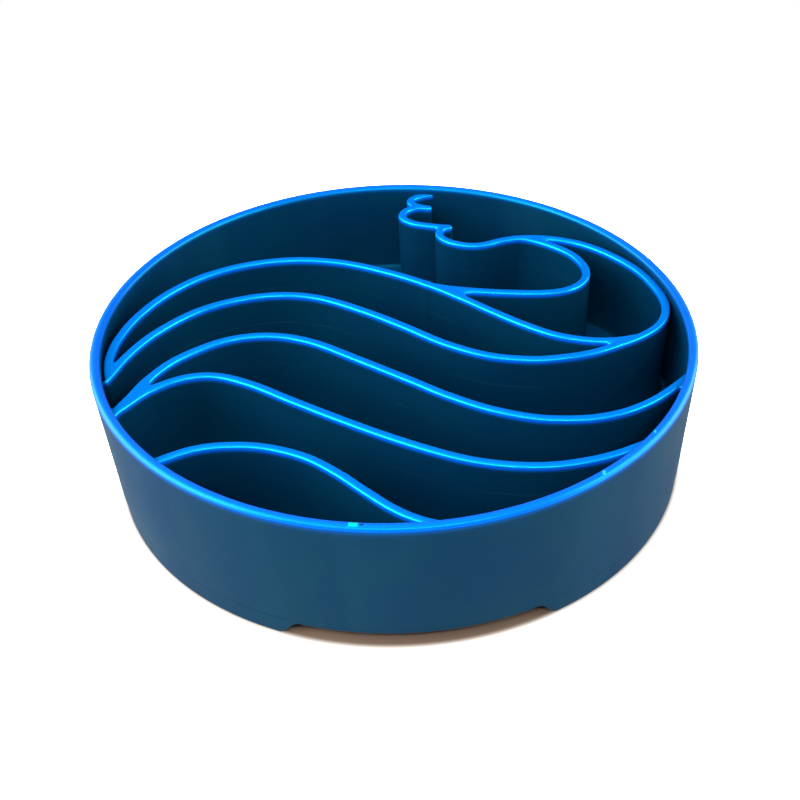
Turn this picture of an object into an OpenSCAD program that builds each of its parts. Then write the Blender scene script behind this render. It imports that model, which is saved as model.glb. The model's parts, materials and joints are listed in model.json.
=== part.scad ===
// A round slow feeder bowl for a pet, in millimetres, standing on the table with its axis on Z.
// A leaning side wall with a rounded rim stands on a foot band that three arches open. A floor
// closes the wall above the hollow foot, and thin dividers shaped like breaking waves stand on it.
// The photograph looks along +Y, with +X to its right.

/* [Bowl] */
// Outside diameter across the rim
rim_d = 203; // [160:1:260]
// Height from the table to the top of the rim
bowl_h = 51; // [44:1:70]
// Thickness of the wall at its rounded rim
rim_w = 3.5; // [2.6:0.1:5]
// Lean of the wall's outer face, in degrees
outer_draft = 1.7; // [0.8:0.1:2.2]
// Lean of the wall's inner face, in degrees
inner_draft = 1; // [0.5:0.1:1.4]

/* [Floor and foot] */
// Height of the hollow between the table and the floor
hollow_h = 12; // [9:0.5:16]
// Thickness of the floor
floor_t = 3; // [2:0.1:4]
// Height of the foot band, up to the fine line round the wall
band_h = 7.8; // [6.6:0.1:8.8]
// How far the foot band stands in from the wall above it
band_step = 0.2; // [0.1:0.05:0.4]
// Number of arches in the foot band
arch_count = 3; // [2:1:5]
// Height of an arch
arch_h = 6; // [3:0.1:6.4]
// Width of an arch's level top, in degrees round the bowl
arch_angle = 43; // [20:1:50]
// Width of each curved end of an arch, in degrees round the bowl
arch_ease = 4.3; // [2:0.1:8]
// Direction of the front arch, in degrees from +X
arch_turn = -82; // [-100:1:-70]

/* [Wave dividers] */
// Thickness of a divider
wave_w = 2.8; // [2:0.1:3.4]
// Depth of the dividers' tops below the rim
wave_drop = 3; // [2:0.5:8]
// Height of the narrower crown along a divider's top
crown_h = 0.6; // [0.3:0.1:1]
// Inset of the crown on each side
crown_inset = 0.5; // [0.2:0.1:0.8]
// Straight steps between two points of a divider
wave_steps = 4; // [3:1:6]

/* [Hidden] */
$fn = 180;
overrun = rim_w;
bead_steps = 12;
ease_steps = 8;
tip_steps = 8;

rim_r = rim_d / 2;
bead_r = rim_w / 2;
bead_z = bowl_h - bead_r;
wall_top = bowl_h - rim_w;
well_r = rim_r - rim_w;
floor_top = hollow_h + floor_t;
arch_half = arch_angle / 2 + arch_ease;
wave_h = bowl_h - wave_drop - floor_top;
crown_w = wave_w - 2 * crown_inset;

function outer_r(z) = rim_r - (bead_z - z) * tan(outer_draft);
function inner_r(z) = well_r - (bead_z - z) * tan(inner_draft);

// Places along the dividers, as shares of the well's radius at the rim. One long line runs from
// the foam's lower nib over the breaker's back and returns to the left as the second swell.
long_shares = [
    [0.142, 0.750], [0.102, 0.726], [0.096, 0.680], [0.134, 0.634], [0.194, 0.610], [0.240, 0.608],
    [0.282, 0.620], [0.334, 0.650], [0.394, 0.672], [0.460, 0.682], [0.552, 0.676], [0.658, 0.642],
    [0.762, 0.570], [0.858, 0.466], [0.918, 0.350], [0.946, 0.244], [0.938, 0.152], [0.902, 0.078],
    [0.840, 0.016], [0.758, -0.040], [0.666, -0.092], [0.564, -0.124], [0.462, -0.140],
    [0.318, -0.126], [0.168, -0.064], [0.016, 0.034], [-0.128, 0.120], [-0.292, 0.196],
    [-0.434, 0.214], [-0.578, 0.180], [-0.724, 0.090], [-0.842, -0.062], [-0.906, -0.216],
    [-0.928, -0.342]];
// The long line is cut where the curl leaves it and where the upper swell reaches it.
neck_end = 9;
back_end = 19;
upper_shares = [
    [-0.926, -0.326], [-0.938, -0.280], [-0.954, -0.204], [-0.954, -0.096], [-0.926, 0.040],
    [-0.860, 0.188], [-0.756, 0.318], [-0.606, 0.414], [-0.430, 0.460], [-0.244, 0.448],
    [-0.060, 0.384], [0.094, 0.306], [0.212, 0.228], [0.316, 0.152], [0.436, 0.070], [0.544, 0.012],
    [0.652, -0.014], [0.750, -0.012], [0.832, 0.012]];
curl_shares = [
    [0.094, 0.306], [0.168, 0.290], [0.302, 0.278], [0.460, 0.278], [0.560, 0.294], [0.626, 0.334],
    [0.662, 0.398], [0.660, 0.476], [0.616, 0.560], [0.546, 0.624], [0.464, 0.676]];
middle_shares = [
    [0.120, 0.744], [0.076, 0.748], [-0.008, 0.766], [-0.060, 0.810], [-0.050, 0.868],
    [0.000, 0.898], [0.052, 0.896]];
top_shares = [
    [0.016, 0.900], [-0.024, 0.920], [-0.036, 0.948], [-0.016, 0.978], [0.020, 0.994],
    [0.066, 1.006]];
third_shares = [
    [-0.870, -0.536], [-0.830, -0.424], [-0.796, -0.320], [-0.726, -0.200], [-0.594, -0.088],
    [-0.448, -0.048], [-0.294, -0.078], [-0.112, -0.178], [0.072, -0.286], [0.192, -0.358],
    [0.330, -0.422], [0.466, -0.458], [0.572, -0.462], [0.676, -0.448], [0.780, -0.406],
    [0.886, -0.326], [1.016, -0.180]];
fourth_shares = [
    [-0.854, -0.494], [-0.832, -0.460], [-0.778, -0.380], [-0.686, -0.310], [-0.582, -0.290],
    [-0.456, -0.330], [-0.306, -0.412], [-0.152, -0.494], [-0.004, -0.568], [0.138, -0.630],
    [0.270, -0.676], [0.398, -0.696], [0.526, -0.692], [0.644, -0.662], [0.738, -0.622],
    [0.842, -0.560]];
front_shares = [
    [-0.724, -0.770], [-0.576, -0.672], [-0.448, -0.644], [-0.336, -0.652], [-0.218, -0.692],
    [-0.116, -0.760], [-0.028, -0.834], [0.068, -0.910], [0.164, -0.958], [0.296, -0.986]];

// A smooth line through the places p, which bends by a cubic between each two of them.
function place(p, i) =
    i < 0 ? 2 * p[0] - p[1] :
    i < len(p) ? p[i] :
    2 * p[len(p) - 1] - p[len(p) - 2];
function bend(a, b, c, d, t) =
    (2 * b + (c - a) * t + (2 * a - 5 * b + 4 * c - d) * t * t + (3 * b - a - 3 * c + d) * t * t * t) / 2;
function smooth(p) = concat(
    [for (i = [0 : len(p) - 2], k = [0 : wave_steps - 1])
        bend(place(p, i - 1), p[i], p[i + 1], place(p, i + 2), k / wave_steps)],
    [p[len(p) - 1]]);

long_line = smooth(long_shares * well_r);
upper_line = smooth(upper_shares * well_r);
curl_line = smooth(curl_shares * well_r);
middle_line = smooth(middle_shares * well_r);
top_line = smooth(top_shares * well_r);
third_line = smooth(third_shares * well_r);
fourth_line = smooth(fourth_shares * well_r);
front_line = smooth(front_shares * well_r);

// The outline of a line of width w between two of its points. An end is cut square, rounded, or
// drawn to a point where it lies inside another divider.
function heading(c, i) = c[min(i + 1, len(c) - 1)] - c[max(i - 1, 0)];
function side(c, i, w) =
    let (h = heading(c, i))
    c[i] + [-h.y, h.x] / norm(h) * w / 2;
function tip(c, i, w, start) =
    let (h = heading(c, i), a = atan2(h.y, h.x) + start)
    [for (k = [1 : tip_steps - 1])
        c[i] + [cos(a - 180 * k / tip_steps), sin(a - 180 * k / tip_steps)] * w / 2];
function outline(c, w, first, last, first_end, last_end) =
    let (a = first_end == "point" ? first + 1 : first, b = last_end == "point" ? last - 1 : last)
    concat(
        [for (i = [a : b]) side(c, i, w)],
        last_end == "point" ? [c[last]] : last_end == "round" ? tip(c, last, w, 90) : [],
        [for (i = [b : -1 : a]) side(c, i, -w)],
        first_end == "point" ? [c[first]] : first_end == "round" ? tip(c, first, w, -90) : []);

// One layer of a divider: its band, less the bands of the dividers that it runs into.
module layer(h, w, c, first, last, first_end, last_end, meets) {
    linear_extrude(h)
    difference() {
        polygon(outline(c, w, first, last, first_end, last_end));
        for (m = meets)
            polygon(outline(m, w, 0, len(m) - 1, "round", "round"));
    }
}

// A divider that stands on the floor, ends on the wall and has a narrower crown.
module divider(c, first = 0, last = -1, first_end = "square", last_end = "square", meets = []) {
    end = last < 0 ? len(c) - 1 : last;
    intersection() {
        union() {
            translate([0, 0, floor_top])
                layer(wave_h - crown_h, wave_w, c, first, end, first_end, last_end, meets);
            translate([0, 0, floor_top + wave_h - crown_h])
                layer(crown_h, crown_w, c, first, end, first_end, last_end, meets);
        }
        translate([0, 0, floor_top])
            cylinder(h = wave_h, r1 = inner_r(floor_top), r2 = inner_r(floor_top + wave_h));
    }
}

// The rounded edge springs from the wall's faces at bead_z and peaks at the full height.
module rim_bead() {
    color("dodgerblue")
    rotate_extrude()
    polygon(concat(
        [[inner_r(wall_top), wall_top], [outer_r(wall_top), wall_top]],
        [for (k = [0 : bead_steps])
            [rim_r - bead_r + bead_r * cos(180 * k / bead_steps),
                bead_z + bead_r * sin(180 * k / bead_steps)]]));
}

module side_wall() {
    color("dodgerblue")
    rotate_extrude()
    polygon([[inner_r(band_h), band_h], [outer_r(band_h), band_h],
        [outer_r(wall_top), wall_top], [inner_r(wall_top), wall_top]]);
}

module floor_plate() {
    color("royalblue")
    translate([0, 0, hollow_h])
        cylinder(h = floor_t, r1 = inner_r(hollow_h), r2 = inner_r(floor_top));
}

// An opening with a level top and curved ends, cut through the foot band from inside to outside.
module arch() {
    curved_end = [for (k = [0 : ease_steps])
        [outer_r(0) * sin(arch_angle / 2 + arch_ease * k / ease_steps),
            arch_h * (1 + cos(180 * k / ease_steps)) / 2]];
    foot_half = outer_r(0) * sin(arch_half);
    inside = inner_r(0) * cos(arch_half) - overrun;
    translate([inside, 0, 0])
    rotate([90, 0, 90])
    linear_extrude(outer_r(0) + overrun - inside)
    polygon(concat(
        [for (k = [ease_steps : -1 : 0]) [-curved_end[k].x, curved_end[k].y]],
        curved_end,
        [[foot_half, -overrun], [-foot_half, -overrun]]));
}

module foot_band() {
    color("dodgerblue")
    difference() {
        rotate_extrude()
        polygon([[inner_r(0), 0], [outer_r(0) - band_step, 0],
            [outer_r(band_h) - band_step, band_h], [inner_r(band_h), band_h]]);
        for (k = [0 : arch_count - 1])
            rotate([0, 0, arch_turn + 360 * k / arch_count])
                arch();
    }
}

// The neck under the foam runs from the lower nib to where the curl leaves the breaker's back.
module crest_neck() {
    color("deepskyblue")
    divider(long_line, last = neck_end * wave_steps, first_end = "round");
}

module breaker_back() {
    color("deepskyblue")
    divider(long_line, first = neck_end * wave_steps, last = back_end * wave_steps);
}

module second_swell() {
    color("deepskyblue")
    divider(long_line, first = back_end * wave_steps, last_end = "round");
}

module upper_swell() {
    color("deepskyblue")
    divider(upper_line, first_end = "point", last_end = "point", meets = [long_line]);
}

module breaker_curl() {
    color("deepskyblue")
    divider(curl_line, first_end = "point", last_end = "point", meets = [long_line, upper_line]);
}

module middle_scallop() {
    color("deepskyblue")
    divider(middle_line, first_end = "point", last_end = "round", meets = [long_line]);
}

module top_scallop() {
    color("deepskyblue")
    divider(top_line, first_end = "point", meets = [middle_line]);
}

module third_swell() {
    color("deepskyblue")
    divider(third_line);
}

module fourth_swell() {
    color("deepskyblue")
    divider(fourth_line, first_end = "point", meets = [third_line]);
}

module front_swell() {
    color("deepskyblue")
    divider(front_line);
}

rim_bead();
side_wall();
floor_plate();
foot_band();
crest_neck();
breaker_back();
second_swell();
upper_swell();
breaker_curl();
middle_scallop();
top_scallop();
third_swell();
fourth_swell();
front_swell();
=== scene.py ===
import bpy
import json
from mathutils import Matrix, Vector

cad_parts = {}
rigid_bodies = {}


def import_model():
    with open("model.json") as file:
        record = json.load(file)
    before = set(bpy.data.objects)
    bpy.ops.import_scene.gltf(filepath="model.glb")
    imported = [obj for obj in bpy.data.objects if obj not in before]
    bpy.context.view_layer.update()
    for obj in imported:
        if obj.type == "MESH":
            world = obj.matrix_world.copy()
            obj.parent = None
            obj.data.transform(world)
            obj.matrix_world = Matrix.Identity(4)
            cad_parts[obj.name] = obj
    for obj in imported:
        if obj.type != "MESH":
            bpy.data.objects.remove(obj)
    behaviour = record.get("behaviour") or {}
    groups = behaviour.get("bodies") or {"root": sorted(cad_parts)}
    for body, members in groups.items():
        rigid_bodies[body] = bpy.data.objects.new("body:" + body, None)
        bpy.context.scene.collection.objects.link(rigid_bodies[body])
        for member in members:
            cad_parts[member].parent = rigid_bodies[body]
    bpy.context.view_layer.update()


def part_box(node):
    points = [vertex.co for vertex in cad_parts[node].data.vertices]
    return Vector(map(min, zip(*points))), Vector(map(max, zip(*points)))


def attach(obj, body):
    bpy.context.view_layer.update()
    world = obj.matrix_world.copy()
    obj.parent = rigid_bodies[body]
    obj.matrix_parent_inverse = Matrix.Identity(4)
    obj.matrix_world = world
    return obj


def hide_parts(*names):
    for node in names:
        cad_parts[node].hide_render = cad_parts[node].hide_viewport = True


bl_info = {
    "name": "Slow feeder bowl",
    "version": (1, 0, 0),
    "blender": (4, 5, 0),
    "location": "3D View > Sidebar > Bowl",
    "description": "Dresses the packed solids of a round slow feeder bowl with wave dividers",
    "category": "Add Mesh",
}

import json
import math

import bpy
import numpy as np
from bpy.props import FloatProperty, FloatVectorProperty, IntProperty, PointerProperty
from mathutils import Matrix, Vector

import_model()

RIM_LOW, RIM_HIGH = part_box("rim_bead")
FLOOR_LOW, FLOOR_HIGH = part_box("floor_plate")
FOOT_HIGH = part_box("foot_band")[1]
SWELL_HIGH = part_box("third_swell")[1]

# Places along the dividers, as shares of the well's radius at the rim.
LONG_SHARES = (
    (0.129, 0.743), (0.102, 0.726), (0.096, 0.680), (0.134, 0.634), (0.194, 0.610),
    (0.240, 0.608), (0.282, 0.620), (0.334, 0.650), (0.394, 0.672), (0.460, 0.682),
    (0.552, 0.676), (0.658, 0.642), (0.762, 0.570), (0.858, 0.466), (0.918, 0.350),
    (0.946, 0.244), (0.938, 0.152), (0.902, 0.078), (0.840, 0.016), (0.758, -0.040),
    (0.666, -0.092), (0.564, -0.124), (0.462, -0.140), (0.318, -0.126), (0.168, -0.064),
    (0.016, 0.034), (-0.128, 0.120), (-0.292, 0.196), (-0.434, 0.214), (-0.578, 0.180),
    (-0.724, 0.090), (-0.842, -0.062), (-0.906, -0.216), (-0.928, -0.342),
)
UPPER_SHARES = (
    (-0.926, -0.326), (-0.938, -0.280), (-0.954, -0.204), (-0.954, -0.096), (-0.926, 0.040),
    (-0.860, 0.188), (-0.756, 0.318), (-0.606, 0.414), (-0.430, 0.460), (-0.244, 0.448),
    (-0.060, 0.384), (0.094, 0.306), (0.212, 0.228), (0.316, 0.152), (0.436, 0.070),
    (0.544, 0.012), (0.652, -0.014), (0.750, -0.012), (0.832, 0.012),
)
CURL_SHARES = (
    (0.094, 0.306), (0.168, 0.290), (0.302, 0.278), (0.460, 0.278), (0.560, 0.294),
    (0.626, 0.334), (0.662, 0.398), (0.660, 0.476), (0.618, 0.558), (0.558, 0.612),
    (0.490, 0.652), (0.430, 0.674), (0.394, 0.674),
)
MIDDLE_SHARES = (
    (0.120, 0.744), (0.076, 0.748), (-0.008, 0.766), (-0.060, 0.810), (-0.050, 0.868),
    (0.000, 0.898), (0.037, 0.896),
)
TOP_SHARES = (
    (0.016, 0.900), (-0.028, 0.920), (-0.040, 0.948), (-0.026, 0.976), (0.004, 0.994),
    (0.044, 1.012),
)
THIRD_SHARES = (
    (-0.870, -0.536), (-0.830, -0.424), (-0.796, -0.320), (-0.726, -0.200), (-0.594, -0.088),
    (-0.448, -0.048), (-0.294, -0.078), (-0.112, -0.178), (0.072, -0.286), (0.192, -0.358),
    (0.330, -0.422), (0.466, -0.458), (0.572, -0.462), (0.676, -0.448), (0.780, -0.406),
    (0.886, -0.326), (1.016, -0.180),
)
FOURTH_SHARES = (
    (-0.854, -0.494), (-0.832, -0.460), (-0.778, -0.380), (-0.686, -0.310), (-0.582, -0.290),
    (-0.456, -0.330), (-0.306, -0.412), (-0.152, -0.494), (-0.004, -0.568), (0.138, -0.630),
    (0.270, -0.676), (0.398, -0.696), (0.526, -0.692), (0.644, -0.662), (0.738, -0.622),
    (0.842, -0.560),
)
FRONT_SHARES = (
    (-0.724, -0.770), (-0.576, -0.672), (-0.448, -0.644), (-0.336, -0.652), (-0.218, -0.692),
    (-0.116, -0.760), (-0.028, -0.834), (0.068, -0.910), (0.164, -0.958), (0.296, -0.986),
)
# The numbers of the long line's places at which its three pieces part.
NECK_END = 9
BACK_END = 19
# Lines that run into each other. In a group an earlier line keeps its whole width. A web fills
# the corner between two lines: their numbers and its share of the widest web. So does a wall
# web, one for each line. A taper makes a line slimmer towards an end: the line's number,
# whether it is the last end, and by what share of the divider's radius, over what share of the
# well's radius.
BREAKER = {
    "lines": (LONG_SHARES, UPPER_SHARES, CURL_SHARES, MIDDLE_SHARES, TOP_SHARES),
    "webs": ((0, 1, 0.4), (0, 2, 0.4), (1, 2, 1.0), (0, 3, 0.3), (3, 4, 0.3)),
    "wall_webs": (0.1, 0.1, 0.1, 0.1, 0.2),
    "tapers": ((0, True, 0.62, 0.10), (1, False, 0.40, 0.06)),
}
SWELLS = {"lines": (THIRD_SHARES, FOURTH_SHARES), "webs": ((0, 1, 0.8),), "wall_webs": (0.3, 0.3)}
FRONT = {"lines": (FRONT_SHARES,), "wall_webs": (0.3,)}

# How far a divider reaches into the wall, a line's own band into an earlier one's, a divider's
# face into the floor, and how far a covered top lies under the one that covers it.
INTO_WALL = 0.0006
INTO_BAND = 0.00025
INTO_FLOOR = 0.0003
UNDER_TOP = 0.00003
# How far from its line a divider's own part is looked for, in how many samples, and how often
# the edge that is found is halved.
SEARCH_REACH = 0.0046
SEARCH_SAMPLES = 33
SEARCH_HALVINGS = 12
# Directions, in degrees from straight across, of the sections round a divider's free end.
END_ANGLES = (15, 30, 45, 58, 69, 78, 85, 89)
# Heights of the rows on a divider's face, as shares of the way from its top edge to its root.
FACE_ROWS = (0.04, 0.12, 0.4, 0.7, 1)
# Degrees past which two smooth faces meet sharply.
SHARP_ANGLE = 35

# Painted glints on the rim, and a dark spot beside the first: centre, half the lengths along the
# axes, colour.
RIM_GLINTS = (
    ((-0.0038, -0.0996, 0.0508), (0.0015, 0.001, 0.002), (0, 0.60, 0.55)),
    ((-0.0014, -0.0997, 0.0508), (0.0006, 0.0005, 0.002), (0, 0.05, 0.20)),
    ((0.0664, -0.0745, 0.0508), (0.0005, 0.001, 0.002), (0.02, 0.60, 0.70)),
    ((0.0828, -0.0546, 0.0508), (0.0004, 0.0009, 0.002), (0.02, 0.60, 0.70)),
)
# What the upright streaks of painted reflection and the flow line tint the plastic with.
STREAK_SHEEN_TINT = (0.03, 0.17, 0.27)
FLOW_TINT = (0.02, 0.085, 0.12)

WHITE = (1, 1, 1)
COOL = (0.84, 1, 1.05)
GREY = (0.62, 0.62, 0.62)
# Each lamp: name, (azimuth, elevation) in degrees, distance, size, power and colour.
LAMPS = (
    ("Top", (120, 78), 1.0, (0.5, 0.5), 0.8, WHITE),
    ("Front left", (-150, 36), 0.9, (0.60, 0.80), 7.0, WHITE),
    ("Left", (-178, 13), 0.9, (1.10, 0.70), 9.0, COOL),
    ("Front", (-84, 47), 0.9, (0.80, 0.08), 4.3, WHITE),
    ("Right", (-2, 41), 0.9, (0.40, 0.04), 2.0, WHITE),
    ("Low right", (8, 12), 0.9, (1.20, 0.70), 9.8, COOL),
    ("Below", (0, -90), 0.9, (0.60, 0.60), 2.5, WHITE),
)
# The ground's tone under the bowl, a painted shadow over its real shade, and further out, the
# radii between which the one goes over to the other, and those between which the ground turns
# plain white.
PAINTED_SHADOW_TONE = (0.235, 0.155, 0.11)
OPEN_TONE = (3.2, 3.0, 2.85)
PAINTED_SHADOW_EDGE = (0.0985, 0.1045)
WHITE_EDGE = (0.20, 0.45)
# The light of the world on the object, and how far up its white walls reach, as a direction's Z.
WORLD_COLOUR = (0.9, 0.96, 1)
WORLD_STRENGTH = 0.16
WALL_REACH = 0.16
# The picture's side, the camera's focal length and the point it looks at, in pixels.
PICTURE = 800
FOCAL = 1150
AIM = (505, 495)
# The camera's pitch and roll in degrees, and the middle of the rim as the camera has it, ahead of
# it, to its right and above it.
PITCH = 41.96
ROLL = 1.75
RIM_FROM_CAMERA = (0.3904, -0.0360, 0.0585)


class BowlSizes(bpy.types.PropertyGroup):
    """Sizes of the bowl's round wall, floor and foot"""

    rim_radius: FloatProperty(
        name="Rim radius", description="Outside radius across the rim",
        default=RIM_HIGH.x, min=0.05, subtype="DISTANCE")
    height: FloatProperty(
        name="Height", description="From the table to the top of the rim",
        default=RIM_HIGH.z, min=0.02, subtype="DISTANCE")
    rim_width: FloatProperty(
        name="Rim width", description="Thickness of the wall at its rounded rim",
        default=RIM_HIGH.z - RIM_LOW.z, min=0.001, subtype="DISTANCE")
    outer_draft: FloatProperty(
        name="Outer lean", description="Lean of the wall's outer face",
        default=math.radians(1.7), subtype="ANGLE")
    inner_draft: FloatProperty(
        name="Inner lean", description="Lean of the wall's inner face",
        default=math.radians(1.0), subtype="ANGLE")
    floor_top: FloatProperty(
        name="Floor top", description="Height of the well's floor above the table",
        default=FLOOR_HIGH.z, subtype="DISTANCE")
    floor_bottom: FloatProperty(
        name="Floor underside", description="Height of the hollow under the floor",
        default=FLOOR_LOW.z, subtype="DISTANCE")
    corner: FloatProperty(
        name="Floor corner", description="Radius where the floor meets the wall",
        default=0.0012, min=0.0002, subtype="DISTANCE")
    band_height: FloatProperty(
        name="Band height", description="Height of the foot band under its fine line",
        default=FOOT_HIGH.z, subtype="DISTANCE")
    band_step: FloatProperty(
        name="Band step", description="How far the foot band stands in from the wall",
        default=0.0002, min=0, subtype="DISTANCE")
    lip: FloatProperty(
        name="Edge radius", description="Radius along the foot's lower edges",
        default=0.00045, min=0.00005, subtype="DISTANCE")
    arch_height: FloatProperty(
        name="Arch height", description="Height of the foot's arches",
        default=0.006, subtype="DISTANCE")
    arch_angle: FloatProperty(
        name="Arch width", description="Width of an arch's level top round the bowl",
        default=math.radians(43), subtype="ANGLE")
    arch_ease: FloatProperty(
        name="Arch end", description="Width of each curved end of an arch",
        default=math.radians(4.3), subtype="ANGLE")
    arch_turn: FloatProperty(
        name="Front arch", description="Direction of the front arch",
        default=math.radians(-82), subtype="ANGLE")
    arch_count: IntProperty(
        name="Arches", description="Number of arches in the foot band", default=3, min=1)
    columns: IntProperty(
        name="Columns", description="Steps round the bowl", default=432, min=48)


class DividerSizes(bpy.types.PropertyGroup):
    """Sizes of the wave dividers that stand on the floor"""

    width: FloatProperty(
        name="Width", description="Thickness of a divider, rounded over its whole top",
        default=0.0029, min=0.001, subtype="DISTANCE")
    top: FloatProperty(
        name="Top", description="Height of the dividers' tops above the table",
        default=SWELL_HIGH.z, subtype="DISTANCE")
    crown: FloatProperty(
        name="Crown", description="Height of the rounded top",
        default=0.00115, min=0.0002, subtype="DISTANCE")
    web: FloatProperty(
        name="Web", description="Reach of the widest filled corner between two joining dividers",
        default=0.005, min=0.0005, subtype="DISTANCE")
    root: FloatProperty(
        name="Root radius", description="Radius where a divider meets the floor",
        default=0.0008, min=0.0001, subtype="DISTANCE")
    step: FloatProperty(
        name="Step", description="Distance between two sections along a divider",
        default=0.00045, min=0.0002, subtype="DISTANCE")
    across: IntProperty(
        name="Top steps", description="Steps across a divider's rounded top", default=14, min=4)


class PlasticColours(bpy.types.PropertyGroup):
    """Colours of the moulded plastic"""

    wall: FloatVectorProperty(
        name="Wall", description="Blue of the broad walls and the floor",
        default=(0.0008, 0.034, 0.080), min=0, max=1, subtype="COLOR")
    # Deep, edge and crest are painted highlight colours, which the edge gather mask lays over the
    # rounded tops.
    deep: FloatVectorProperty(
        name="Deep", description="Deep blue where a rounded edge starts to gather light",
        default=(0.0003, 0.066, 0.28), min=0, max=1, subtype="COLOR")
    edge: FloatVectorProperty(
        name="Edge", description="Brighter blue that thin rounded edges gather",
        default=(0.0003, 0.120, 0.92), min=0, max=1, subtype="COLOR")
    divider: FloatVectorProperty(
        name="Divider", description="Blue of the dividers' faces",
        default=(0.0005, 0.029, 0.070), min=0, max=1, subtype="COLOR")
    crest: FloatVectorProperty(
        name="Crest", description="Palest blue along the very top of a rounded edge",
        default=(0.0005, 0.16, 0.86), min=0, max=1, subtype="COLOR")
    gleam: FloatVectorProperty(
        name="Gleam", description="Tint of the plastic's reflections",
        default=(0.01, 0.95, 0.80), min=0, max=1, subtype="COLOR")
    roughness: FloatProperty(
        name="Roughness", description="Roughness of the rounded rim and tops",
        default=0.31, min=0.02, max=1, subtype="FACTOR")


# Meshes


def clear_old(store, name):
    """Removes what an earlier run left under this name."""
    old = store.get(name)
    if old is not None:
        store.remove(old)


def new_object(name, data):
    """An object of this data in the scene, at the origin."""
    obj = bpy.data.objects.new(name, data)
    bpy.context.scene.collection.objects.link(obj)
    return obj


def unit(vectors):
    """Each row divided by its own length."""
    return vectors / np.maximum(np.hypot(*vectors.T), 1e-9)[:, None]


def grid_faces(rows, around, ring=False):
    """Quads between neighbouring rows of a closed section: row i is joined to row i + 1, and the
    last to the first where the piece is a ring."""
    i = np.arange(rows if ring else rows - 1)[:, None]
    j = np.arange(around)[None, :]
    following, beside = (i + 1) % rows, (j + 1) % around
    quads = (i * around + j, i * around + beside,
             following * around + beside, following * around + j)
    return np.stack(quads, axis=-1).reshape(-1, 4)


def put_piece(name, points, faces, nodes, material, lower=None):
    """One closed mesh from its places and faces. It takes the place of the named solids and
    rides with them. Lower is a second material and the height under which the faces have it."""
    clear_old(bpy.data.objects, name)
    mesh = bpy.data.meshes.new(name)
    mesh.from_pydata(points.reshape(-1, 3).tolist(), [], faces)
    mesh.validate()
    mesh.update()
    face_outwards(mesh)
    mesh.polygons.foreach_set("use_smooth", np.ones(len(mesh.polygons), bool))
    mesh.set_sharp_from_angle(angle=math.radians(SHARP_ANGLE))
    mesh.materials.append(bpy.data.materials[material])
    if lower:
        mesh.materials.append(bpy.data.materials[lower[0]])
        centre = np.zeros(len(mesh.polygons) * 3)
        mesh.polygons.foreach_get("center", centre)
        mesh.polygons.foreach_set("material_index", (centre[2::3] < lower[1]).astype(np.int32))
    mesh.update()
    obj = new_object(name, mesh)
    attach(obj, "root")
    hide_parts(*nodes)


def face_outwards(mesh):
    """Turns every face of a closed mesh outwards: the volume, a sixth of the sum of the triple
    products of each fan triangle's corners, has to be positive."""
    mesh.calc_loop_triangles()
    tri = np.zeros(len(mesh.loop_triangles) * 3, np.int32)
    mesh.loop_triangles.foreach_get("vertices", tri)
    co = np.zeros(len(mesh.vertices) * 3)
    mesh.vertices.foreach_get("co", co)
    a, b, c = (co.reshape(-1, 3)[tri.reshape(-1, 3)[:, k]] for k in range(3))
    if np.einsum("ij,ij->i", a, np.cross(b, c)).sum() < 0:
        mesh.flip_normals()


def revolved(profile, columns):
    """A closed section turned about Z: a point at radius r and height z goes to
    (r cos a, r sin a, z) for each of the evenly spaced angles a."""
    a = np.linspace(0, 2 * math.pi, columns, endpoint=False)[:, None]
    r = profile[None, :, 0]
    z = np.broadcast_to(profile[:, 1], (columns, len(profile)))
    points = np.stack([r * np.cos(a), r * np.sin(a), z], -1)
    return points, grid_faces(columns, len(profile), ring=True)


def arc(cx, cz, radius, start, stop, steps):
    """Points of a circle about (cx, cz) from the start angle to the stop angle, in degrees."""
    a = np.radians(np.linspace(start, stop, steps + 1))
    return np.column_stack([cx + radius * np.cos(a), cz + radius * np.sin(a)])


def line(a, b, steps):
    """Evenly spaced points from a up to, but without, b."""
    t = (np.arange(steps) / steps)[:, None]
    return np.asarray(a) * (1 - t) + np.asarray(b) * t


def outer_r(sizes, z):
    """Radius of the leaning outer face at height z."""
    below = sizes.height - sizes.rim_width / 2 - z
    return sizes.rim_radius - below * math.tan(sizes.outer_draft)


def inner_r(sizes, z):
    """Radius of the leaning inner face at height z."""
    below = sizes.height - sizes.rim_width / 2 - z
    return sizes.rim_radius - sizes.rim_width - below * math.tan(sizes.inner_draft)


# Dividers


def smooth_line(shares, reach, step):
    """A line through the places shares * reach. Between two places it is the cubic with the
    slope of half the chord of their neighbours, walked at even steps and then evened by moving
    each point a quarter of the way towards both neighbours, five times."""
    p = np.asarray(shares) * reach
    e = np.vstack([2 * p[0] - p[1], p, 2 * p[-1] - p[-2]])
    a, b, c, d = (e[k:len(e) - 3 + k][:, None] for k in range(4))
    t = (np.arange(16) / 16)[None, :, None]
    q = (2 * b + (c - a) * t + (2 * a - 5 * b + 4 * c - d) * t ** 2
         + (3 * b - a - 3 * c + d) * t ** 3) / 2
    q = np.vstack([q.reshape(-1, 2), p[-1:]])
    s = np.concatenate([[0], np.cumsum(np.hypot(*np.diff(q, axis=0).T))])
    even = np.linspace(0, s[-1], int(math.ceil(s[-1] / step)) + 1)
    walk = np.column_stack([np.interp(even, s, q[:, k]) for k in (0, 1)])
    for _ in range(5):
        walk[1:-1] = walk[1:-1] / 2 + (walk[:-2] + walk[2:]) / 4
    return walk


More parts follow.
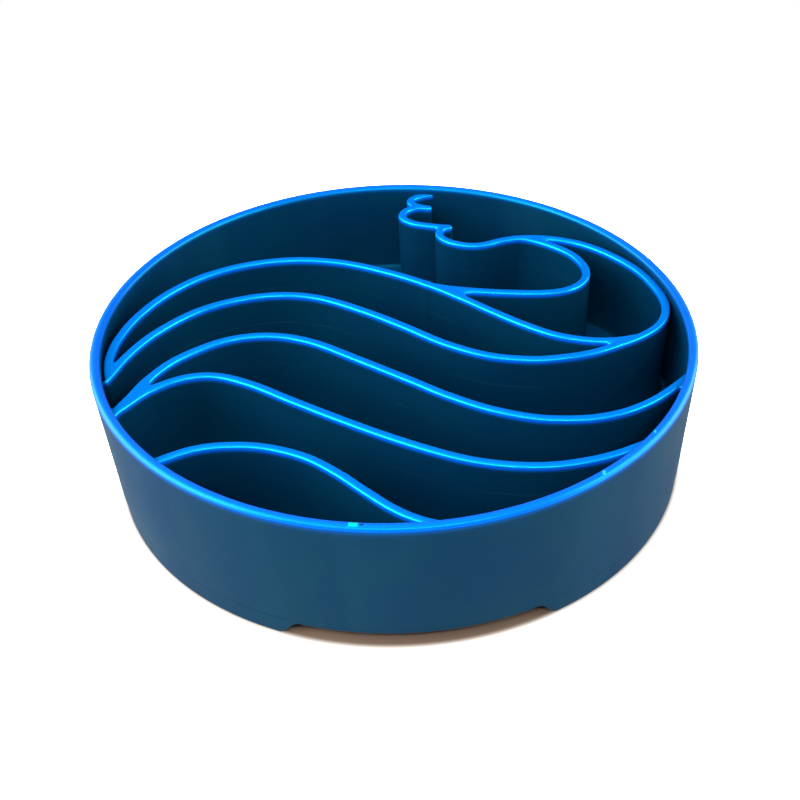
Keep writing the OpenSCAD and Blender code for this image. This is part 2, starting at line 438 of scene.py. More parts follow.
def to_line(walk, places):
    """Distance from each place to the nearest point of a line, the unit direction away from
    that point, and how far along the line it lies. Each straight step a + u (b - a) is nearest
    at u = (p - a).(b - a) / |b - a|^2, held between 0 and 1. The places are taken a part at a
    time, against the steps near them. Where there are none, the line counts as very far."""
    very_far, near_by, part = 0.05, 0.012, 900
    start, chord = walk[:-1], np.diff(walk, axis=0)
    distance = np.full(len(places), very_far)
    away = np.tile([1.0, 0.0], (len(places), 1))
    along = np.zeros(len(places))
    length = np.hypot(*chord.T)
    passed = np.cumsum(length) - length
    for k in range(0, len(places), part):
        some = places[k:k + part]
        close = ((start > some.min(0) - near_by) & (start < some.max(0) + near_by)).all(1)
        if not close.any():
            continue
        a, d = start[close], chord[close]
        ap = some[:, None] - a[None]
        u = np.clip((ap * d).sum(-1) / (d ** 2).sum(1), 0, 1)
        off = ap - u[..., None] * d
        far = (off ** 2).sum(-1)
        best = far.argmin(1)
        rows = np.arange(len(best))
        distance[k:k + part] = np.sqrt(far[rows, best])
        away[k:k + part] = off[rows, best]
        along[k:k + part] = passed[close][best] + u[rows, best] * length[close][best]
    return distance, unit(away), along


class Plan:
    """The dividers of one group seen from above, with the wall as one more line."""

    def __init__(self, sizes, div, lines, wall_webs, webs=(), tapers=()):
        reach = sizes.rim_radius - sizes.rim_width
        self.radius = div.width / 2
        self.tapers = [(k, last, share * self.radius, length * reach)
                       for k, last, share, length in tapers]
        webs += tuple((k, len(lines), share) for k, share in enumerate(wall_webs))
        self.webs = [(i, j, share * div.web) for i, j, share in webs]
        self.walks = [smooth_line(s, reach, div.step) for s in lines]
        self.coarse = [w[::2] if len(w) % 2 else np.vstack([w[::2], w[-1:]]) for w in self.walks]
        self.wall = inner_r(sizes, div.top)

    def reach(self, places):
        """Distances to every line and to the wall's own line, and the directions away. A line
        that grows slimmer has the lost width, times the square of how near its end is, added."""
        found = [to_line(w, places) for w in self.coarse]
        for k, last, lost, length in self.tapers:
            near, away, along = found[k]
            whole = np.hypot(*np.diff(self.coarse[k], axis=0).T).sum()
            left = whole - along if last else along
            found[k] = (near + lost * np.clip(1 - left / length, 0, 1) ** 2, away, along)
        found.append((np.abs(self.wall + self.radius - np.hypot(*places.T)), -unit(places)))
        return np.array([f[0] for f in found]), np.array([f[1] for f in found])

    def depth(self, places, reach=None):
        """How far a place lies inside the dividers' outline. It is the radius less the least
        distance; between two lines whose directions away oppose each other, a quarter of the
        web, times the square of how nearly the distances agree, is taken off first."""
        near, away = reach if reach else self.reach(places)
        least = near.min(0)
        for i, j, web in self.webs:
            facing = np.clip(0.5 - 0.5 * (away[i] * away[j]).sum(-1), 0, 1)
            alike = np.maximum(web - np.abs(near[i] - near[j]), 0) / web
            least = np.minimum(least, np.minimum(near[i], near[j]) - facing * alike ** 2 * web / 4)
        return self.radius - least

    def owned(self, k, places):
        """Whether line k covers a place: inside the outline, not past the wall's face, and
        neither in an earlier line's band nor nearer to any other line."""
        near, away = self.reach(places)
        mine = self.depth(places, (near, away)) > 0
        mine &= np.hypot(*places.T) < self.wall + INTO_WALL
        for earlier in near[:k]:
            mine &= (earlier > self.radius - INTO_BAND) & (earlier > near[k] - INTO_BAND)
        for later in near[k + 1:len(self.walks)]:
            mine &= (near[k] <= self.radius) | (near[k] <= later)
        return mine

    def spans(self, k, centre, normal):
        """For each section the two edges of line k's own part, found on a row of samples and
        narrowed by halving. Sections with no part of their own are left out."""
        t = np.linspace(-SEARCH_REACH, SEARCH_REACH, SEARCH_SAMPLES)
        places = centre[:, None] + t[None, :, None] * normal[:, None]
        mine = self.owned(k, places.reshape(-1, 2)).reshape(len(centre), -1)
        start = np.where(mine, np.abs(t)[None], np.inf).argmin(1)
        keep = mine.any(1)
        index = np.arange(len(t))[None]
        rows = np.arange(len(centre))
        low = np.maximum.accumulate(np.where(mine, 0, index), axis=1)[rows, start]
        backwards = np.where(mine, len(t) - 1, index)[:, ::-1]
        high = np.minimum.accumulate(backwards, axis=1)[:, ::-1][rows, start]
        edges = []
        for out, step in ((low, 1), (high, -1)):
            outer = t[out]
            inner = t[np.clip(out + step, 0, len(t) - 1)]
            for _ in range(SEARCH_HALVINGS):
                middle = (outer + inner) / 2
                inside = self.owned(k, centre + middle[:, None] * normal)
                inner = np.where(inside, middle, inner)
                outer = np.where(inside, outer, middle)
            edges.append(inner)
        return edges[0], edges[1], keep

    def slope(self, places):
        """Unit direction in which the outline's depth falls, by differences over 0.1 mm."""
        shifts = 0.00005 * np.eye(2)
        return -unit(np.stack(
            [self.depth(places + v) - self.depth(places - v) for v in shifts], -1))


def divider_mesh(plan, k, first, last, sizes, div):
    """One divider as sections across its line. Over the depth f inside the outline its top is
    a little flatter than a half circle, z = top - h (1 - (1 - (1 - f / r)^3)^(1 / 3)) with
    the crown's height h, and level where two tops merge. The faces go straight down and flare to
    the floor on a quarter circle."""
    walk = plan.walks[k]
    r = plan.radius
    heading = unit(np.gradient(walk, axis=0))
    last = len(walk) - 1 if last is None else last
    centre, ahead = walk[first:last + 1], heading[first:last + 1]
    past = r * np.sin(np.radians(END_ANGLES))
    if first == 0:
        centre = np.vstack([centre[0] - past[::-1, None] * ahead[0], centre])
        ahead = np.vstack([np.repeat(ahead[:1], len(past), 0), ahead])
    if last == len(walk) - 1:
        centre = np.vstack([centre, centre[-1] + past[:, None] * ahead[-1]])
        ahead = np.vstack([ahead, np.repeat(ahead[-1:], len(past), 0)])
    normal = np.column_stack([-ahead[:, 1], ahead[:, 0]])
    low, high, keep = plan.spans(k, centre, normal)
    low, high, centre, normal = low[keep], high[keep], centre[keep], normal[keep]

    rows = len(centre)
    u = (1 - np.cos(np.linspace(0, math.pi, div.across + 1))) / 2
    t = low[:, None] + (high - low)[:, None] * u
    places = centre[:, None] + t[..., None] * normal[:, None]
    flat = places.reshape(-1, 2)
    near, away = plan.reach(flat)
    depth = plan.depth(flat, (near, away))
    out = 1 - np.clip(depth / r, 0, 1)
    z = div.top - div.crown * (1 - (1 - out ** 3) ** (1 / 3))
    for earlier in near[:k]:
        over = (np.maximum(r, near[k]) - earlier) / INTO_BAND
        z -= UNDER_TOP * np.clip(over, 0, 1)
    z = z.reshape(rows, -1)
    top = np.concatenate([places, z[..., None]], -1)

    def skirt(edge, edge_z):
        """The face under one edge of the top, from just below it to just under the floor. It
        flares only where the edge is the outline's, not where it meets another divider."""
        out = plan.slope(edge)
        on_outline = 0.00005
        free = (plan.depth(edge) < on_outline)[:, None, None]
        base = sizes.floor_top + div.root
        levels = edge_z[:, None] + (base - edge_z)[:, None] * np.array(FACE_ROWS)
        a = np.radians([30, 60, 90, 90])
        flare = np.concatenate([np.zeros(len(FACE_ROWS)), div.root * (1 - np.cos(a))])
        drop = sizes.floor_top + div.root * (1 - np.sin(a)) - np.array([0, 0, 0, INTO_FLOOR])
        heights = np.concatenate([levels, np.broadcast_to(drop, (len(edge), len(a)))], 1)
        spread = edge[:, None] + np.where(free, flare[None, :, None] * out[:, None], 0)
        return np.concatenate([spread, heights[..., None]], -1)

    right = skirt(places[:, -1], z[:, -1])
    left = skirt(places[:, 0], z[:, 0])
    loop = np.concatenate([top, right, left[:, ::-1]], 1)
    around = loop.shape[1]
    numbers = list(range(rows * around))
    ends = [numbers[around - 1::-1], numbers[-around:]]
    return loop, grid_faces(rows, around).tolist() + ends


def station(walk, share, reach):
    """The number of the point of a line that is nearest to one of its places."""
    return int(np.hypot(*(walk - np.asarray(share) * reach).T).argmin())


# Materials


def node_group(name, inputs, outputs):
    """A new shader node group with named number sockets, and its two end nodes."""
    clear_old(bpy.data.node_groups, name)
    tree = bpy.data.node_groups.new(name, "ShaderNodeTree")
    for label, value in inputs.items():
        socket = tree.interface.new_socket(label, in_out="INPUT", socket_type="NodeSocketFloat")
        socket.default_value = value
    for label in outputs:
        tree.interface.new_socket(label, in_out="OUTPUT", socket_type="NodeSocketFloat")
    return tree, tree.nodes.new("NodeGroupInput"), tree.nodes.new("NodeGroupOutput")


def add(tree, kind, inputs=None, **settings):
    """A node with its settings, and its inputs set to values or linked to sockets."""
    node = tree.nodes.new(kind)
    for key, value in settings.items():
        setattr(node, key, value)
    for key, value in (inputs or {}).items():
        if isinstance(value, bpy.types.NodeSocket):
            tree.links.new(value, node.inputs[key])
        else:
            node.inputs[key].default_value = value
    return node


def fresh_tree(owner):
    """The emptied node tree of a material or a world."""
    owner.use_nodes = True
    owner.node_tree.nodes.clear()
    return owner.node_tree


def calc(tree, operation, a, b=0.0):
    """One number worked out from one or two others."""
    return add(tree, "ShaderNodeMath", {0: a, 1: b}, operation=operation).outputs[0]


def greatest(tree, first, *others):
    """The greatest of several numbers."""
    for other in others:
        first = calc(tree, "MAXIMUM", first, other)
    return first


def object_place(tree):
    """The place on the object, in metres from its origin."""
    return add(tree, "ShaderNodeTexCoord").outputs["Object"]


def noise(tree, place, **settings):
    """Soft noise between 0 and 1 over the given place."""
    values = {key.capitalize(): value for key, value in settings.items()}
    return add(tree, "ShaderNodeTexNoise", {"Vector": place, **values}).outputs["Fac"]


def blend(tree, share, first, second):
    """The first colour gone over to the second by the share. Each is a colour or a socket."""
    colours = {key: c if isinstance(c, bpy.types.NodeSocket) else (*c, 1)
               for key, c in ((6, first), (7, second))}
    return add(tree, "ShaderNodeMix", {0: share, **colours}, data_type="RGBA").outputs[2]


def ramp(tree, value, low, high, to_low=0.0, to_high=1.0):
    """The value carried smoothly from one range to another."""
    return add(
        tree, "ShaderNodeMapRange",
        {"Value": value, "From Min": low, "From Max": high, "To Min": to_low, "To Max": to_high},
        interpolation_type="SMOOTHSTEP").outputs["Result"]


def edge_gather_group():
    """Painted light gathered along a thin rounded edge, a painted highlight: nothing under the
    start height, all of it over the full height, with a faint painted glow a little further down.
    Two millimetres to either side of the given radius both heights lie higher by the given drop.
    As it is made, it gathers none."""
    tree, start, end = node_group("Edge gather", {
        "Start": 1.0, "Full": 2.0, "Glow": 0.0, "Glow depth": 0.001, "Radius": 1.0, "Drop": 0.0,
    }, ["Mask"])
    given = start.outputs
    split = add(tree, "ShaderNodeSeparateXYZ", {0: object_place(tree)})
    flat = add(tree, "ShaderNodeCombineXYZ", {0: split.outputs[0], 1: split.outputs[1]})
    far = add(tree, "ShaderNodeVectorMath", {0: flat.outputs[0]}, operation="LENGTH")
    past = calc(tree, "SUBTRACT", far.outputs["Value"], given["Radius"])
    past = calc(tree, "ABSOLUTE", calc(tree, "DIVIDE", past, 0.002))
    past = calc(tree, "MULTIPLY", past, given["Drop"])
    z = calc(tree, "SUBTRACT", split.outputs["Z"], past)
    edge = ramp(tree, z, given["Start"], given["Full"])
    low = calc(tree, "SUBTRACT", given["Start"], given["Glow depth"])
    glow = calc(tree, "MULTIPLY", ramp(tree, z, low, given["Full"]), given["Glow"])
    tree.links.new(greatest(tree, edge, glow), end.inputs["Mask"])


def moulded_skin_group():
    """The skin of a moulding: a very fine even texture, slow waviness from cooling, a few hair
    scratches, and soft upright streaks of painted reflection. It gives a height and three masks."""
    tree, start, end = node_group(
        "Moulded skin", {"Grain size": 0.0006, "Scratches": 0.5},
        ["Height", "Cloud", "Scratch", "Sheen streaks"])
    place = object_place(tree)
    grain_scale = calc(tree, "DIVIDE", 1.0, start.outputs["Grain size"])
    grain = noise(tree, place, scale=grain_scale, detail=2.0, roughness=0.5)
    wave = noise(tree, place, scale=45.0, detail=1.0, roughness=0.4)
    cloud = noise(tree, place, scale=22.0, detail=3.0, roughness=0.55, distortion=0.4)
    # Upright streaks that lighten the colour: painted reflection.
    upright = add(tree, "ShaderNodeMapping", {"Vector": place, "Scale": (34.0, 34.0, 3.0)})
    draw = noise(tree, upright.outputs[0], scale=1.0, detail=2.0, roughness=0.45)
    marks = []
    for turn, stretch in ((0.35, (30.0, 900.0, 500.0)), (-0.9, (700.0, 26.0, 420.0))):
        drawn_out = add(tree, "ShaderNodeMapping", {
            "Vector": place, "Rotation": (0.2, turn, turn), "Scale": stretch})
        thread = noise(tree, drawn_out.outputs[0], scale=1.0, detail=1.0)
        marks.append(ramp(tree, thread, 0.735, 0.80))
    scratch = calc(tree, "MULTIPLY", greatest(tree, *marks), start.outputs["Scratches"])
    height = calc(tree, "ADD", calc(tree, "MULTIPLY", grain, 0.06), wave)
    height = calc(tree, "SUBTRACT", height, calc(tree, "MULTIPLY", scratch, 0.15))
    for label, value in (("Height", height), ("Cloud", ramp(tree, cloud, 0.3, 0.7)),
                         ("Scratch", scratch), ("Sheen streaks", ramp(tree, draw, 0.52, 0.74))):
        tree.links.new(value, end.inputs[label])


def plastic(name, colours, body, drift, edge, ior, level, rough, draw=0.0, flow=None, marks=()):
    """Blue moulded plastic. Its body colour drifts slowly towards a second one, thin rounded
    edges turn to the brighter edge colour, a painted highlight, and are polished by handling, and
    the skin breaks up the gloss. Edge holds the values for the gathered light. Ior and level are
    how much it reflects, rough how rough the body is, draw how strongly the upright streaks of
    painted reflection show, and flow the height of a hair-thin flow line. Marks are painted spots,
    mostly glints, each a centre, half its lengths along the axes, and a colour."""
    clear_old(bpy.data.materials, name)
    tree = fresh_tree(bpy.data.materials.new(name))
    skin = add(tree, "ShaderNodeGroup", node_tree=bpy.data.node_groups["Moulded skin"])
    gather = add(tree, "ShaderNodeGroup", node_tree=bpy.data.node_groups["Edge gather"])
    for label, value in edge.items():
        gather.inputs[label].default_value = value
    mask, cloud, streak_sheen = gather.outputs["Mask"], skin.outputs["Cloud"], skin.outputs["Sheen streaks"]
    colour = blend(tree, cloud, body, drift)
    pale = tuple(0.7 * c + 0.3 * tint for c, tint in zip(body, STREAK_SHEEN_TINT))
    # The upright streaks lighten the body colour: painted reflection.
    colour = blend(tree, calc(tree, "MULTIPLY", streak_sheen, draw), colour, pale)
    if flow:
        z = add(tree, "ShaderNodeSeparateXYZ", {0: object_place(tree)}).outputs["Z"]
        off = calc(tree, "ABSOLUTE", calc(tree, "SUBTRACT", z, flow))
        hair = ramp(tree, off, 0.00004, 0.00016, 1, 0)
        hair = calc(tree, "MULTIPLY", hair, ramp(tree, streak_sheen, 0.0, 0.3, 0.25, 0.7))
        colour = blend(tree, hair, colour, FLOW_TINT)
    # Painted highlight: the deep, edge and crest blues go over the rounded edges by the
    # gathered-light mask.
    for tone, low, high in ((colours.deep, 0.0, 0.4), (colours.edge, 0.35, 0.75),
                            (colours.crest, 0.8, 1.0)):
        colour = blend(tree, ramp(tree, mask, low, high), colour, tone)
    # Painted glints, and one dark spot, on the rim's plastic.
    for centre, half, tone in marks:
        off = object_place(tree)
        for operation, other in (("SUBTRACT", centre), ("DIVIDE", half), ("ABSOLUTE", (0, 0, 0))):
            off = add(tree, "ShaderNodeVectorMath", {0: off, 1: other},
                      operation=operation).outputs[0]
        off = greatest(tree, *add(tree, "ShaderNodeSeparateXYZ", {0: off}).outputs)
        colour = blend(tree, ramp(tree, off, 0.75, 1.0, 1, 0), colour, tone)
    even = ramp(tree, mask, 0, 1, rough - 0.03, colours.roughness)
    for output, share in ((cloud, 0.06), (skin.outputs["Scratch"], 0.18)):
        even = calc(tree, "ADD", even, calc(tree, "MULTIPLY", output, share))
    bump = add(tree, "ShaderNodeBump", {
        "Height": skin.outputs["Height"], "Distance": 0.00006})
    shader = add(tree, "ShaderNodeBsdfPrincipled", {
        "Base Color": colour, "Roughness": even, "Normal": bump.outputs[0], "IOR": ior,
        "Specular IOR Level": level, "Specular Tint": (*colours.gleam, 1)})
    add(tree, "ShaderNodeOutputMaterial", {0: shader.outputs[0]})


class BOWL_OT_materials(bpy.types.Operator):
    """Builds the shared node groups and the plastic of the bowl and of its dividers"""

    bl_idname = "bowl.materials"
    bl_label = "Plastic"

    def execute(self, context):
        scene = context.scene
        colours, sizes, div = scene.bowl_colours, scene.bowl_sizes, scene.divider_sizes
        edge_gather_group()
        moulded_skin_group()
        wall, face = Vector(colours.wall), Vector(colours.divider)
        drift = wall * Vector((1.2, 0.82, 1.08))
        spring = sizes.height - sizes.rim_width / 2
        # Where the rim's painted highlight lies, and the painted glow below it.
        edge = {"Start": spring - 0.0025, "Full": spring + 0.0022, "Glow": 0.22,
                "Glow depth": 0.0020, "Radius": sizes.rim_radius - 0.0010, "Drop": 0.0008}
        plastic("Bowl plastic", colours, wall, drift, edge,
                ior=1.5, level=0.2, rough=0.50, draw=0.18)
        plastic("Rim plastic", colours, wall, drift, edge,
                ior=1.65, level=0.9, rough=0.42, draw=0.25, marks=RIM_GLINTS)
        # Painted light: the floor gets the wall blue made brighter, a lit copy of the same
        # plastic, for its upward face.
        lit_floor_blue = wall * Vector((2, 1.7, 2.2))
        plastic("Lit floor plastic", colours, lit_floor_blue, lit_floor_blue, {}, ior=1.5, level=0.5, rough=0.45)
        shade = face * Vector((1.1, 0.85, 1.05))
        # Where the dividers' painted highlight lies, and the painted glow below it.
        edge = {"Start": div.top - div.width / 2 - 0.0014, "Full": div.top - 0.0003,
                "Glow": 0.20, "Glow depth": 0.0010}
        plastic("Divider plastic", colours, face, shade, edge,
                ior=1.5, level=0.4, rough=0.45, flow=div.top - 0.0112)
        plastic("Crest plastic", colours, face, shade, edge, ior=2.4, level=1.0, rough=0.45)
        return {"FINISHED"}


class BOWL_OT_rim(bpy.types.Operator):
    """Rounded rim at the top of the wall"""

    bl_idname = "bowl.rim"
    bl_label = "Rounded rim"

    def execute(self, context):
        s = context.scene.bowl_sizes
        low = s.height - s.rim_width
        spring = s.height - s.rim_width / 2
        profile = np.vstack([
            line((inner_r(s, low), low), (outer_r(s, low), low), 3),
            line((outer_r(s, low), low), (outer_r(s, spring), spring), 5),
            arc(s.rim_radius - s.rim_width / 2, spring, s.rim_width / 2, 0, 180, 28),
            line((inner_r(s, spring), spring), (inner_r(s, low), low), 5)[1:],
        ])
        points, faces = revolved(profile, s.columns)
        put_piece("rounded_rim", points, faces.tolist(), ["rim_bead"],
                  "Rim plastic", lower=("Bowl plastic", spring + 0.0003))
        return {"FINISHED"}


class BOWL_OT_wall(bpy.types.Operator):
    """Leaning side wall from the foot band to the rim"""

    bl_idname = "bowl.wall"
    bl_label = "Side wall"

    def execute(self, context):
        s = context.scene.bowl_sizes
        low, high = s.band_height, s.height - s.rim_width
        ease = s.lip / 2
        profile = np.vstack([
            line((inner_r(s, low), low), (outer_r(s, low) - ease, low), 3),
            arc(outer_r(s, low) - ease, low + ease, ease, -90, -s.outer_draft, 4),
            line((outer_r(s, low + 2 * ease), low + 2 * ease), (outer_r(s, high), high), 16),
            line((outer_r(s, high), high), (inner_r(s, high), high), 3),
            line((inner_r(s, high), high), (inner_r(s, low), low), 16),
        ])
        points, faces = revolved(profile, s.columns)
        put_piece("side_wall_shell", points, faces.tolist(), ["side_wall"],
                  "Bowl plastic")
        return {"FINISHED"}


class BOWL_OT_floor(bpy.types.Operator):
    """Raised floor of the well, with rounded corners above and below"""

    bl_idname = "bowl.floor"
    bl_label = "Floor"

    def execute(self, context):
        s = context.scene.bowl_sizes
        c = s.corner
        up, down = inner_r(s, s.floor_top), inner_r(s, s.floor_bottom)
        into_wall, past_wall = 0.0005, np.array([[0.00002, 0]])
        profile = np.vstack([
            line((0, s.floor_top), (up - c, s.floor_top), 24)[1:],
            arc(up - c, s.floor_top + c, c, -90, 0, 6) + past_wall,
            [(up + into_wall, s.floor_top + c)],
            [(down + into_wall, s.floor_bottom - c)],
            arc(down - c, s.floor_bottom - c, c, 0, 90, 6) + past_wall,
            line((0, s.floor_bottom), (down - c, s.floor_bottom), 24)[:0:-1],
        ])
        # The section is open at the axis, where two fans of triangles close the disc instead.
        n, m = s.columns // 2, len(profile)
        points, quads = revolved(profile, n)
        ends = np.sort(quads[:, :2] % m)
        quads = quads[(ends != (0, m - 1)).any(1)]
        points = np.vstack([points.reshape(-1, 3), [(0, 0, s.floor_top), (0, 0, s.floor_bottom)]])
        here = np.arange(n) * m
        following = np.roll(here, -1)
        top = np.column_stack([np.full(n, n * m), following, here])
        under = np.column_stack([np.full(n, n * m + 1), here + m - 1, following + m - 1])
        put_piece("well_floor", points, quads.tolist() + top.tolist() + under.tolist(),
                  ["floor_plate"], "Lit floor plastic")
        return {"FINISHED"}


class BOWL_OT_foot(bpy.types.Operator):
    """Foot band with its arches, rounded along the lower edges"""

    bl_idname = "bowl.foot"
    bl_label = "Foot band"

    def execute(self, context):
        s = context.scene.bowl_sizes
        n = s.columns * 4
        angle = np.linspace(0, 2 * math.pi, n, endpoint=False)[:, None]
        pitch = 2 * math.pi / s.arch_count
        turned = np.abs((angle - s.arch_turn + pitch / 2) % pitch - pitch / 2)
        into = np.clip((turned - s.arch_angle / 2) / s.arch_ease, 0, 1)
        base = s.arch_height * (1 + np.cos(math.pi * into)) / 2
        # Each column is a section of the band: over the outer top edge, down the outer face, round
        # both lower edges, and up the inner face. Only its lower end follows the arches.
        e, half, top, step = s.lip, s.lip / 2, s.band_height, s.band_step
        a = np.radians(np.linspace(0, 90, 5))
        over, under = a[:-1], a[1:]
        tall = base + e
        outer_z = top - half + (tall - top + half) * np.linspace(0, 1, 6)
        inner_z = top + (tall - top) * np.linspace(1, 0, 6)
        every = np.ones((n, 1))
        radius = np.concatenate([
            every * (outer_r(s, top - half) - step - half * (1 - np.sin(over))),
            outer_r(s, outer_z) - step,
            outer_r(s, tall) - step - e * (1 - np.cos(under)),
            inner_r(s, tall) + e * (1 - np.cos(under[::-1])),
            inner_r(s, inner_z)], 1)
        height = np.concatenate([
            every * (top - half * (1 - np.cos(over))), outer_z, base + e * (1 - np.sin(under)),
            base + e * (1 - np.sin(under[::-1])), inner_z], 1)
        points = np.stack([radius * np.cos(angle), radius * np.sin(angle), height], -1)
        put_piece("arched_foot", points, grid_faces(n, radius.shape[1], ring=True).tolist(),
                  ["foot_band"], "Bowl plastic")
        return {"FINISHED"}


class BOWL_OT_dividers(bpy.types.Operator):
    """Wave dividers, each a rounded wall that merges with the ones it meets"""

    bl_idname = "bowl.dividers"
    bl_label = "Wave dividers"

    def execute(self, context):
        s, div = context.scene.bowl_sizes, context.scene.divider_sizes
        reach = s.rim_radius - s.rim_width
        lower = ("Divider plastic", div.top - div.width / 2 - 0.0002)
        breaker, swells, front = (Plan(s, div, **group) for group in (BREAKER, SWELLS, FRONT))
        neck, back = (station(breaker.walks[0], LONG_SHARES[end], reach)
                      for end in (NECK_END, BACK_END))
        for node, plan, k, first, last in (
                ("crest_neck", breaker, 0, 0, neck), ("breaker_back", breaker, 0, neck, back),
                ("second_swell", breaker, 0, back, None), ("upper_swell", breaker, 1, 0, None),
                ("breaker_curl", breaker, 2, 0, None), ("middle_scallop", breaker, 3, 0, None),
                ("top_scallop", breaker, 4, 0, None), ("third_swell", swells, 0, 0, None),
                ("fourth_swell", swells, 1, 0, None), ("front_swell", front, 0, 0, None)):
            points, faces = divider_mesh(plan, k, first, last, s, div)
            put_piece(node + "_wave", points, faces, [node], "Crest plastic", lower)
        return {"FINISHED"}


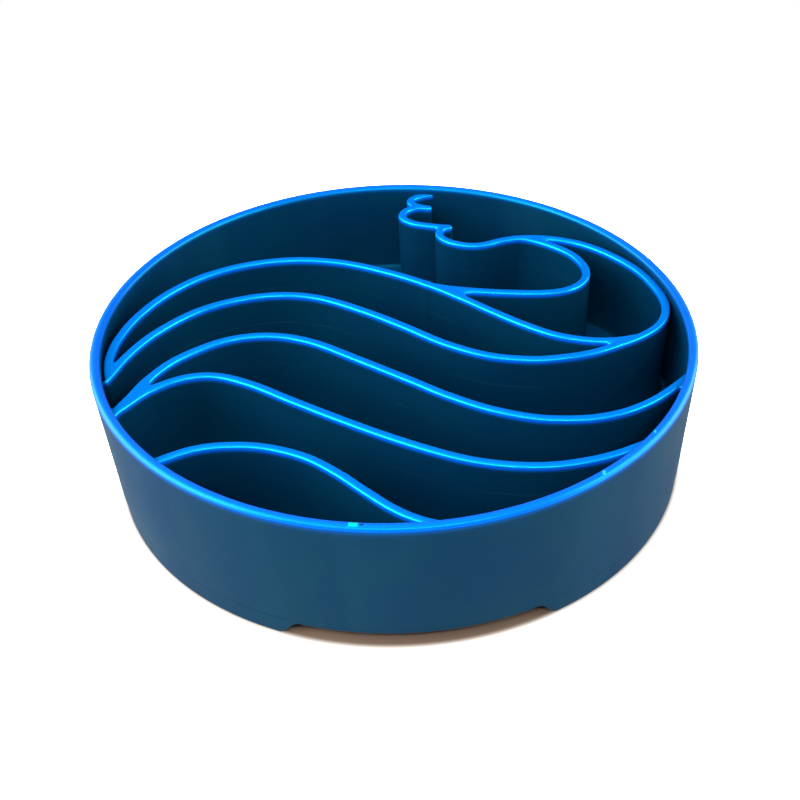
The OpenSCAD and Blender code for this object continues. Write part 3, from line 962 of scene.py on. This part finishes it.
class BOWL_OT_stage(bpy.types.Operator):
    """Plain white ground, soft studio lamps and the camera"""

    bl_idname = "bowl.stage"
    bl_label = "Stage"

    def execute(self, context):
        scene = context.scene
        height = scene.bowl_sizes.height
        self.ground()
        self.world(scene)
        for lamp in LAMPS:
            self.lamp(height, *lamp)
        self.camera(scene, height)
        scene.view_settings.view_transform = "Standard"
        return {"FINISHED"}

    def ground(self):
        """A wide level square, white to the camera, with a warm tone where it is shaded and a
        painted brown shadow under the bowl. It isn't seen from below, and lets the lamp under it
        through."""
        material = bpy.data.materials.new("White ground")
        tree = fresh_tree(material)
        ray = add(tree, "ShaderNodeLightPath").outputs
        radius = add(tree, "ShaderNodeVectorMath", {0: object_place(tree)}, operation="LENGTH")
        radius = radius.outputs["Value"]
        # A painted shadow under the bowl, going over to the open tone further out.
        tone = blend(tree, ramp(tree, radius, *PAINTED_SHADOW_EDGE), PAINTED_SHADOW_TONE, OPEN_TONE)
        near = add(tree, "ShaderNodeBsdfDiffuse", {"Color": tone})
        plain = add(tree, "ShaderNodeBsdfDiffuse", {"Color": (*GREY, 1)})
        white = add(tree, "ShaderNodeEmission", {"Color": (*WHITE, 1)})
        clear = add(tree, "ShaderNodeBsdfTransparent")
        seen = greatest(
            tree, ray["Is Glossy Ray"], ray["Is Transmission Ray"], ray["Is Camera Ray"])
        far = calc(tree, "MULTIPLY", ramp(tree, radius, *WHITE_EDGE), seen)
        below = add(tree, "ShaderNodeNewGeometry").outputs["Backfacing"]
        behind = greatest(tree, below, ray["Is Shadow Ray"])
        mix = plain
        for share, other in ((ray["Is Camera Ray"], near), (far, white), (behind, clear)):
            mix = add(tree, "ShaderNodeMixShader", {
                0: share, 1: mix.outputs[0], 2: other.outputs[0]})
        add(tree, "ShaderNodeOutputMaterial", {0: mix.outputs[0]})
        mesh = bpy.data.meshes.new("ground")
        half = 3.0
        corners = [(x * half, y * half, 0) for x, y in ((-1, -1), (1, -1), (1, 1), (-1, 1))]
        mesh.from_pydata(corners, [], [(0, 1, 2, 3)])
        mesh.materials.append(material)
        ground = new_object("ground", mesh)

    def world(self, scene):
        """White walls of a studio, to the camera and in reflections, under a dim ceiling, and a
        plain grey light on the object."""
        world = bpy.data.worlds.new("Studio")
        scene.world = world
        tree = fresh_tree(world)
        ray = add(tree, "ShaderNodeLightPath").outputs
        way = add(tree, "ShaderNodeTexCoord").outputs["Generated"]
        level = add(tree, "ShaderNodeSeparateXYZ", {0: way}).outputs["Z"]
        wall = ramp(tree, level, 0.0, WALL_REACH, 1, 0)
        mirrored = greatest(tree, ray["Is Glossy Ray"], ray["Is Transmission Ray"])
        mirrored = calc(tree, "MULTIPLY", mirrored, wall)
        seen = greatest(tree, ray["Is Camera Ray"], mirrored)
        soft = add(tree, "ShaderNodeBackground", {
            "Color": (*WORLD_COLOUR, 1), "Strength": WORLD_STRENGTH})
        white = add(tree, "ShaderNodeBackground", {"Color": (*WHITE, 1)})
        mix = add(tree, "ShaderNodeMixShader", {0: seen, 1: soft.outputs[0], 2: white.outputs[0]})
        add(tree, "ShaderNodeOutputWorld", {0: mix.outputs[0]})

    def lamp(self, height, name, direction, distance, size, watts, colour):
        """An oblong lamp that faces the middle of the rim from the given direction."""
        data = bpy.data.lights.new(name, "AREA")
        data.shape = "RECTANGLE"
        data.size, data.size_y = size
        data.energy = watts
        data.color = colour
        obj = new_object(name, data)
        azimuth, elevation = (math.radians(angle) for angle in direction)
        level = distance * math.cos(elevation)
        place = Vector((level * math.cos(azimuth), level * math.sin(azimuth),
                        distance * math.sin(elevation)))
        obj.location = place + Vector((0, 0, height))
        obj.rotation_euler = place.to_track_quat("Z", "Y").to_euler()

    def camera(self, scene, height):
        """The camera stands in front of the bowl and above it, as the photograph was taken."""
        pitch, roll = math.radians(PITCH), math.radians(ROLL)
        ahead = Vector((0, math.cos(pitch), -math.sin(pitch)))
        across = Vector((1, 0, 0))
        up = across.cross(ahead)
        right = across * math.cos(roll) + up * math.sin(roll)
        top = up * math.cos(roll) - across * math.sin(roll)
        rim = Matrix((ahead, right, top)).transposed() @ Vector(RIM_FROM_CAMERA)
        place = Vector((0, 0, height)) - rim
        data = bpy.data.cameras.new("Camera")
        data.sensor_width = 36
        data.lens = FOCAL / PICTURE * data.sensor_width
        data.shift_x = (PICTURE / 2 - AIM[0]) / PICTURE
        data.shift_y = (AIM[1] - PICTURE / 2) / PICTURE
        data.clip_start = 0.01
        obj = new_object("Camera", data)
        turn = Matrix((right, top, -ahead)).transposed()
        obj.matrix_world = Matrix.Translation(place) @ turn.to_4x4()
        scene.camera = obj


OPERATORS = (
    BOWL_OT_materials, BOWL_OT_rim, BOWL_OT_wall, BOWL_OT_floor, BOWL_OT_foot, BOWL_OT_dividers,
    BOWL_OT_stage,
)


class BOWL_PT_panel(bpy.types.Panel):
    """Sizes, colours and steps of the bowl"""

    bl_idname = "BOWL_PT_panel"
    bl_label = "Slow feeder bowl"
    bl_space_type = "VIEW_3D"
    bl_region_type = "UI"
    bl_category = "Bowl"

    def draw(self, context):
        layout = self.layout
        for setting in SETTINGS:
            group = getattr(context.scene, setting)
            column = layout.column(align=True)
            for key in group.bl_rna.properties.keys():
                if key not in ("rna_type", "name"):
                    column.prop(group, key)
        for operator in OPERATORS:
            layout.operator(operator.bl_idname)


SETTINGS = {"bowl_sizes": BowlSizes, "divider_sizes": DividerSizes, "bowl_colours": PlasticColours}
CLASSES = (*SETTINGS.values(), *OPERATORS, BOWL_PT_panel)


def register():
    for cls in CLASSES:
        bpy.utils.register_class(cls)
    for key, cls in SETTINGS.items():
        setattr(bpy.types.Scene, key, PointerProperty(type=cls))


def unregister():
    for key in SETTINGS:
        delattr(bpy.types.Scene, key)
    for cls in reversed(CLASSES):
        bpy.utils.unregister_class(cls)


def main():
    """Builds the whole bowl and its stage."""
    register()
    bpy.ops.bowl.materials()
    bpy.ops.bowl.rim()
    bpy.ops.bowl.wall()
    bpy.ops.bowl.floor()
    bpy.ops.bowl.foot()
    bpy.ops.bowl.dividers()
    bpy.ops.bowl.stage()


if __name__ == "__main__":
    main()
